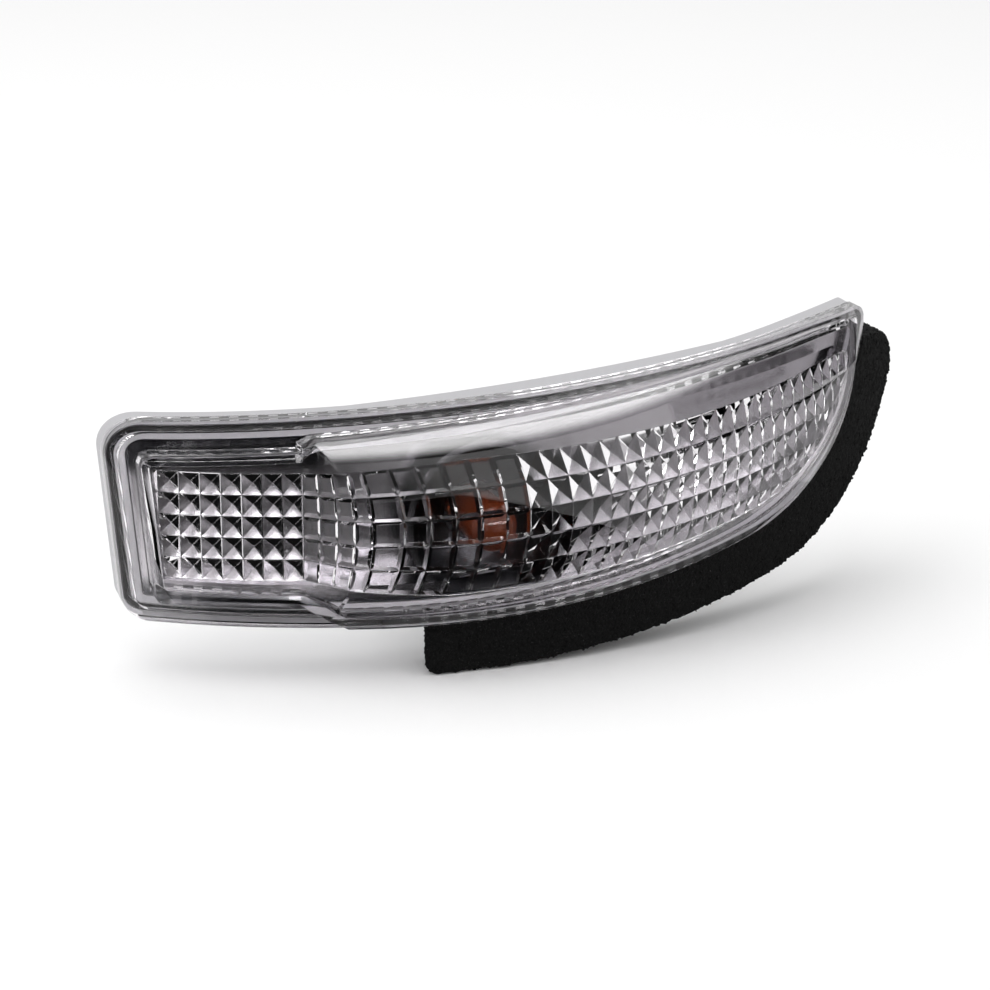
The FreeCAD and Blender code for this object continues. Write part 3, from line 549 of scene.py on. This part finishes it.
class LAMP_OT_bulb(bpy.types.Operator):
    """Amber bulb with its wires and filament"""

    bl_idname = "lamp.bulb"
    bl_label = "Bulb"

    def execute(self, context):
        glass = smooth_copy("bulb_glass", "amber_bulb", [])
        dress(glass, amber_glass())
        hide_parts("bulb_glass")
        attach(glass, "root")
        # Nickel wire is bright with a warm cast, and tungsten is a duller grey
        wire = drawn_metal("nickel_lead_wire", from_hex("b9b3a8"), 0.3)
        for node in ("bulb_lead_left", "bulb_lead_right"):
            dress(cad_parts[node], wire)
        dress(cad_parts["bulb_filament"], drawn_metal("tungsten_wire", from_hex("6a6a6e"), 0.45))
        return {"FINISHED"}


class LAMP_OT_socket(bpy.types.Operator):
    """Twist-in socket with its contacts and rubber ring"""

    bl_idname = "lamp.socket"
    bl_label = "Bulb socket"

    def execute(self, context):
        # Moulded nylon is dark and slightly waxy, nitrile rubber matt, and brass a streaked yellow
        dress(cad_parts["bulb_socket"],
              grained_moulding("grey_nylon_moulded", tuple(settings().socket_colour), 0.2, 0.5, 0.2))
        dress(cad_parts["socket_gasket"],
              grained_moulding("black_nitrile_rubber", from_hex("171717"), 0.3, 0.65, 0.2))
        brass = drawn_metal("stamped_brass", from_hex("c9a45a"), 0.28)
        for node in ("contact_left", "contact_right"):
            dress(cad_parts[node], brass)
        return {"FINISHED"}


def foam_tree():
    """Geometry nodes that tear a cut block's skin and scatter crumbs of cell wall over it."""
    tree = bpy.data.node_groups.new("torn_foam", "GeometryNodeTree")
    face = tree.interface
    face.new_socket("Geometry", in_out="INPUT", socket_type="NodeSocketGeometry")
    for name in ("Cell size", "Torn depth", "Crumb size", "Crumb density"):
        face.new_socket(name, in_out="INPUT", socket_type="NodeSocketFloat")
    face.new_socket("Seed", in_out="INPUT", socket_type="NodeSocketInt")
    face.new_socket("Material", in_out="INPUT", socket_type="NodeSocketMaterial")
    face.new_socket("Geometry", in_out="OUTPUT", socket_type="NodeSocketGeometry")
    given = add(tree, "NodeGroupInput").outputs
    place = add(tree, "GeometryNodeInputPosition").outputs[0]
    # Tears are three cells wide, and the cells' own hollows lie on top of them
    fineness = add(tree, "ShaderNodeMath", {0: 1.0, 1: given["Cell size"]}, operation="DIVIDE")
    coarse = add(tree, "ShaderNodeMath", {0: fineness.outputs[0], 1: 0.3}, operation="MULTIPLY")
    tears = add(tree, "ShaderNodeTexNoise", {
        "Vector": place, "Scale": coarse.outputs[0], "Detail": 3.0, "Roughness": 0.75})
    cells = add(tree, "ShaderNodeTexVoronoi", {"Vector": place, "Scale": fineness.outputs[0]})
    hollow = add(tree, "ShaderNodeMath", {
        0: tears.outputs[0], 1: cells.outputs["Distance"]}, operation="ADD")
    sunk = add(tree, "ShaderNodeMapRange", {
        "Value": hollow.outputs[0], "From Min": 0.4, "From Max": 1.5, "To Min": 0.15, "To Max": -1.0})
    depth = add(tree, "ShaderNodeMath", {
        0: sunk.outputs[0], 1: given["Torn depth"]}, operation="MULTIPLY")
    out = add(tree, "GeometryNodeInputNormal").outputs[0]
    shift = add(tree, "ShaderNodeVectorMath", {0: out, "Scale": depth.outputs[0]}, operation="SCALE")
    skin = add(tree, "GeometryNodeSetPosition", {
        "Geometry": given["Geometry"], "Offset": shift.outputs[0]}).outputs[0]
    points = add(tree, "GeometryNodeDistributePointsOnFaces", {
        "Mesh": skin, "Density": given["Crumb density"], "Seed": given["Seed"]})
    crumb = add(tree, "GeometryNodeMeshIcoSphere", {"Radius": given["Crumb size"], "Subdivisions": 1})
    least, most = CRUMB_SPREAD
    sizes = add(tree, "FunctionNodeRandomValue", {2: least, 3: most, "Seed": given["Seed"]},
                data_type="FLOAT")
    spread = add(tree, "GeometryNodeInstanceOnPoints", {
        "Points": points.outputs["Points"], "Instance": crumb.outputs["Mesh"],
        "Rotation": points.outputs["Rotation"], "Scale": sizes.outputs[1]})
    both = add(tree, "GeometryNodeJoinGeometry")
    tree.links.new(skin, both.inputs[0])
    tree.links.new(spread.outputs[0], both.inputs[0])
    real = add(tree, "GeometryNodeRealizeInstances", {"Geometry": both.outputs[0]})
    painted = add(tree, "GeometryNodeSetMaterial", {
        "Geometry": real.outputs[0], "Material": given["Material"]})
    add(tree, "NodeGroupOutput", {"Geometry": painted.outputs[0]})
    return tree


def through_nodes(obj, tree, values):
    """Runs an object through a node tree with the given inputs and keeps the result as its mesh."""
    grown = obj.modifiers.new(tree.name, "NODES")
    grown.node_group = tree
    for item in tree.interface.items_tree:
        if item.in_out == "INPUT" and item.name in values:
            grown[item.identifier] = values[item.name]
    obj.update_tag()
    evaluated = obj.evaluated_get(bpy.context.evaluated_depsgraph_get())
    made = bpy.data.meshes.new_from_object(evaluated)
    obj.modifiers.clear()
    obj.data = made


def foam_block(node, name):
    """Foam solid with its free end cut at a slant and that end's lower corner worn round."""
    mesh = welded_copy(node, name)
    work = bmesh.new()
    work.from_mesh(mesh)
    low_x = min(v.co.x for v in work.verts)
    end = [v for v in work.verts if v.co.x < low_x + FOAM_END]
    low_z = min(v.co.z for v in end)
    heel = {v for v in end if v.co.z < low_z + FOAM_END}
    edges = [e for e in work.edges if set(e.verts) <= heel]
    bmesh.ops.bevel(work, geom=edges, offset=FOAM_WEAR, segments=FOAM_WEAR_STEPS, profile=0.5,
                    affect="EDGES")
    back = max(v.co.y for v in work.verts if v.co.x < low_x + 2 * FOAM_END)
    for vert in work.verts:
        near = min(max((low_x + FOAM_SLANT_START - vert.co.x) / FOAM_SLANT_RUN, 0.0), 1.0)
        vert.co.x -= FOAM_SLANT * max(back - vert.co.y, 0.0) * near
    work.to_mesh(mesh)
    work.free()
    return put(name, mesh)


class LAMP_OT_foam(bpy.types.Operator):
    """Foam strip with its torn, open-celled skin"""

    bl_idname = "lamp.foam"
    bl_label = "Foam strip"

    def execute(self, context):
        foam = foam_block("foam_strip", "foam_strip_cut")
        skin = foam.modifiers.new("skin", "REMESH")
        skin.mode = "VOXEL"
        skin.voxel_size = FOAM_VOXEL
        skin.use_smooth_shade = True
        through_nodes(foam, foam_tree(), {
            "Cell size": settings().foam_cell, "Torn depth": settings().foam_roughness,
            "Crumb size": settings().foam_cell * CRUMB_SHARE, "Crumb density": CRUMBS_PER_M2,
            "Seed": CRUMB_SEED, "Material": cut_foam()})
        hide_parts("foam_strip")
        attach(foam, "root")
        return {"FINISHED"}


def softbox(name, centre, target, width, height, power):
    """Rectangular studio light aimed at a point."""
    data = bpy.data.lights.new(name, "AREA")
    data.shape = "RECTANGLE"
    data.size = width
    data.size_y = height
    data.energy = power
    made = put(name, data)
    made.location = centre
    made.rotation_euler = (target - centre).to_track_quat("-Z", "Y").to_euler()


def card(name, mesh, material):
    """Studio card that only reflections and refractions see."""
    mesh.materials.append(material)
    made = put(name, mesh)
    made.visible_camera = False
    made.visible_shadow = False
    made.visible_diffuse = False


def dark_card(name, corners):
    """Flat card of matt black cloth with the given corners."""
    mesh = bpy.data.meshes.new(name)
    mesh.from_pydata(corners, [], [tuple(range(len(corners)))])
    material, tree = new_material(name + "_cloth")
    body = add(tree, "ShaderNodeBsdfDiffuse", {"Color": from_hex(DARK_CLOTH)})
    close_material(tree, body.outputs[0])
    card(name, mesh, material)


def bright_card(target):
    """Curved bright card whose reflection lies along the top of the domed lens."""
    work = bmesh.new()
    rows = []
    first, last = CARD_AZIMUTHS
    for elevation in CARD_ELEVATIONS:
        rise = math.tan(math.radians(elevation)) * CARD_REACH
        row = []
        for i in range(CARD_STEPS + 1):
            azimuth = math.radians(first + (last - first) * i / CARD_STEPS)
            side = toward(azimuth, 0) * CARD_REACH
            row.append(work.verts.new(target + side + Vector((0, 0, rise))))
        rows.append(row)
    for i in range(CARD_STEPS):
        work.faces.new((rows[0][i], rows[0][i + 1], rows[1][i + 1], rows[1][i]))
    mesh = bpy.data.meshes.new("highlight_card")
    work.to_mesh(mesh)
    work.free()
    material, tree = new_material("lit_card")
    place = add(tree, "ShaderNodeTexCoord").outputs["Object"]
    height = add(tree, "ShaderNodeSeparateXYZ", {0: place}).outputs[2]
    foot = target.z + math.tan(math.radians(CARD_ELEVATIONS[0])) * CARD_REACH
    glow = add(tree, "ShaderNodeMapRange", {
        "Value": height, "From Min": foot, "From Max": foot + CARD_FADE * CARD_REACH,
        "To Max": settings().card_level}, interpolation_type="SMOOTHSTEP")
    lit = add(tree, "ShaderNodeEmission", {"Strength": glow.outputs[0]})
    close_material(tree, lit.outputs[0])
    card("highlight_card", mesh, material)


def studio_room(tree):
    """Brightness of a white room with a dark zone in front and to the left."""
    azimuth, elevation, inner, outer = [math.radians(angle) for angle in DARK_ZONE]
    direction = add(tree, "ShaderNodeTexCoord").outputs["Generated"]
    near = add(tree, "ShaderNodeVectorMath", {0: direction, 1: toward(azimuth, elevation)},
               operation="DOT_PRODUCT")
    dark = add(tree, "ShaderNodeMapRange", {
        "Value": near.outputs["Value"], "From Min": math.cos(outer), "From Max": math.cos(inner)},
        interpolation_type="SMOOTHSTEP")
    light = add(tree, "ShaderNodeMath", {0: 1.0, 1: dark.outputs[0]}, operation="SUBTRACT")
    return add(tree, "ShaderNodeMapRange", {
        "Value": light.outputs[0], "To Min": DARK_LEVEL, "To Max": 1.0}).outputs[0]


def studio_world():
    """World that the camera sees as plain white and reflections see as a bright room."""
    world = bpy.data.worlds.new("studio_white")
    world.use_nodes = True
    tree = world.node_tree
    tree.nodes.clear()
    path = add(tree, "ShaderNodeLightPath")
    room = studio_room(tree)
    mirrored = add(tree, "ShaderNodeMath", {
        0: path.outputs["Is Glossy Ray"], 1: path.outputs["Is Transmission Ray"]}, operation="MAXIMUM")
    level = add(tree, "ShaderNodeMapRange", {
        "Value": mirrored.outputs[0], "To Min": settings().room_level, "To Max": 1.0})
    lit = add(tree, "ShaderNodeBackground", {"Color": room, "Strength": level.outputs[0]})
    white = add(tree, "ShaderNodeBackground", {"Color": from_hex("ffffff"), "Strength": 1.0})
    mixed = add(tree, "ShaderNodeMixShader", {
        0: path.outputs["Is Camera Ray"], 1: lit.outputs[0], 2: white.outputs[0]})
    add(tree, "ShaderNodeOutputWorld", {"Surface": mixed.outputs[0]})
    return world


def photo_camera(target):
    """Camera that looks at the lamp as the photograph does."""
    back = toward(settings().camera_azimuth, settings().camera_elevation)
    data = bpy.data.cameras.new("photo_camera")
    data.sensor_width = 36.0
    data.lens = settings().camera_lens
    data.clip_start = 0.01
    data.clip_end = 50.0
    camera = put("photo_camera", data)
    camera.location = target + back * settings().camera_distance
    camera.rotation_euler = (-back).to_track_quat("-Z", "Y").to_euler()
    return camera


class LAMP_OT_studio(bpy.types.Operator):
    """White floor and room, soft lights, dark and bright cards, and the camera"""

    bl_idname = "lamp.studio"
    bl_label = "Studio"

    def execute(self, context):
        scene = context.scene
        low, _ = CAD_BOX
        mesh = bpy.data.meshes.new("studio_floor")
        far = FLOOR_HALF
        mesh.from_pydata([(-far, -far, low.z), (far, -far, low.z), (far, far, low.z),
                          (-far, far, low.z)], [], [(0, 1, 2, 3)])
        floor = put("studio_floor", mesh)
        # Studio paper is matt and white, and takes soft shadows
        material, tree = new_material("floor_paper")
        body = add(tree, "ShaderNodeBsdfDiffuse", {"Color": tuple(settings().floor_colour)})
        close_material(tree, body.outputs[0])
        mesh.materials.append(material)

        target = placed(*TARGET)
        scene.camera = photo_camera(target)
        for name, offset, width, height, power in SOFTBOXES:
            softbox(name, target + Vector(offset), target, width, height, power)
        dark_card("table_flag", [(x, y, low.z + TABLE_FLAG_LIFT) for x, y in TABLE_FLAG])
        bright_card(target)
        x, near, far, top = RIGHT_FLAG
        dark_card("right_flag", [(x, near, low.z), (x, far, low.z), (x, far, top), (x, near, top)])
        scene.world = studio_world()
        scene.view_settings.view_transform = "Standard"
        return {"FINISHED"}


class LAMP_PT_panel(bpy.types.Panel):
    """Lists the lamp's pieces and settings"""

    bl_idname = "LAMP_PT_panel"
    bl_label = "Turn signal lamp"
    bl_space_type = "VIEW_3D"
    bl_region_type = "UI"
    bl_category = "Lamp"

    def draw(self, context):
        layout = self.layout
        for piece in PIECES:
            layout.operator(piece.bl_idname)
        for name in LampSettings.__annotations__:
            layout.prop(context.scene.lamp_settings, name)


PIECES = (LAMP_OT_lens, LAMP_OT_reflector, LAMP_OT_shell, LAMP_OT_bulb, LAMP_OT_socket,
          LAMP_OT_foam, LAMP_OT_studio)


def register():
    """Registers the settings, the operators and the panel."""
    for made in (LampSettings, *PIECES, LAMP_PT_panel):
        bpy.utils.register_class(made)
    bpy.types.Scene.lamp_settings = PointerProperty(type=LampSettings)


def unregister():
    """Takes the settings, the operators and the panel away again."""
    del bpy.types.Scene.lamp_settings
    for made in (LAMP_PT_panel, *reversed(PIECES), LampSettings):
        bpy.utils.unregister_class(made)


def main():
    """Makes every piece in order."""
    register()
    bpy.ops.lamp.studio()
    bpy.ops.lamp.lens()
    bpy.ops.lamp.reflector()
    bpy.ops.lamp.shell()
    bpy.ops.lamp.bulb()
    bpy.ops.lamp.socket()
    bpy.ops.lamp.foam()


if __name__ == "__main__":
    main()
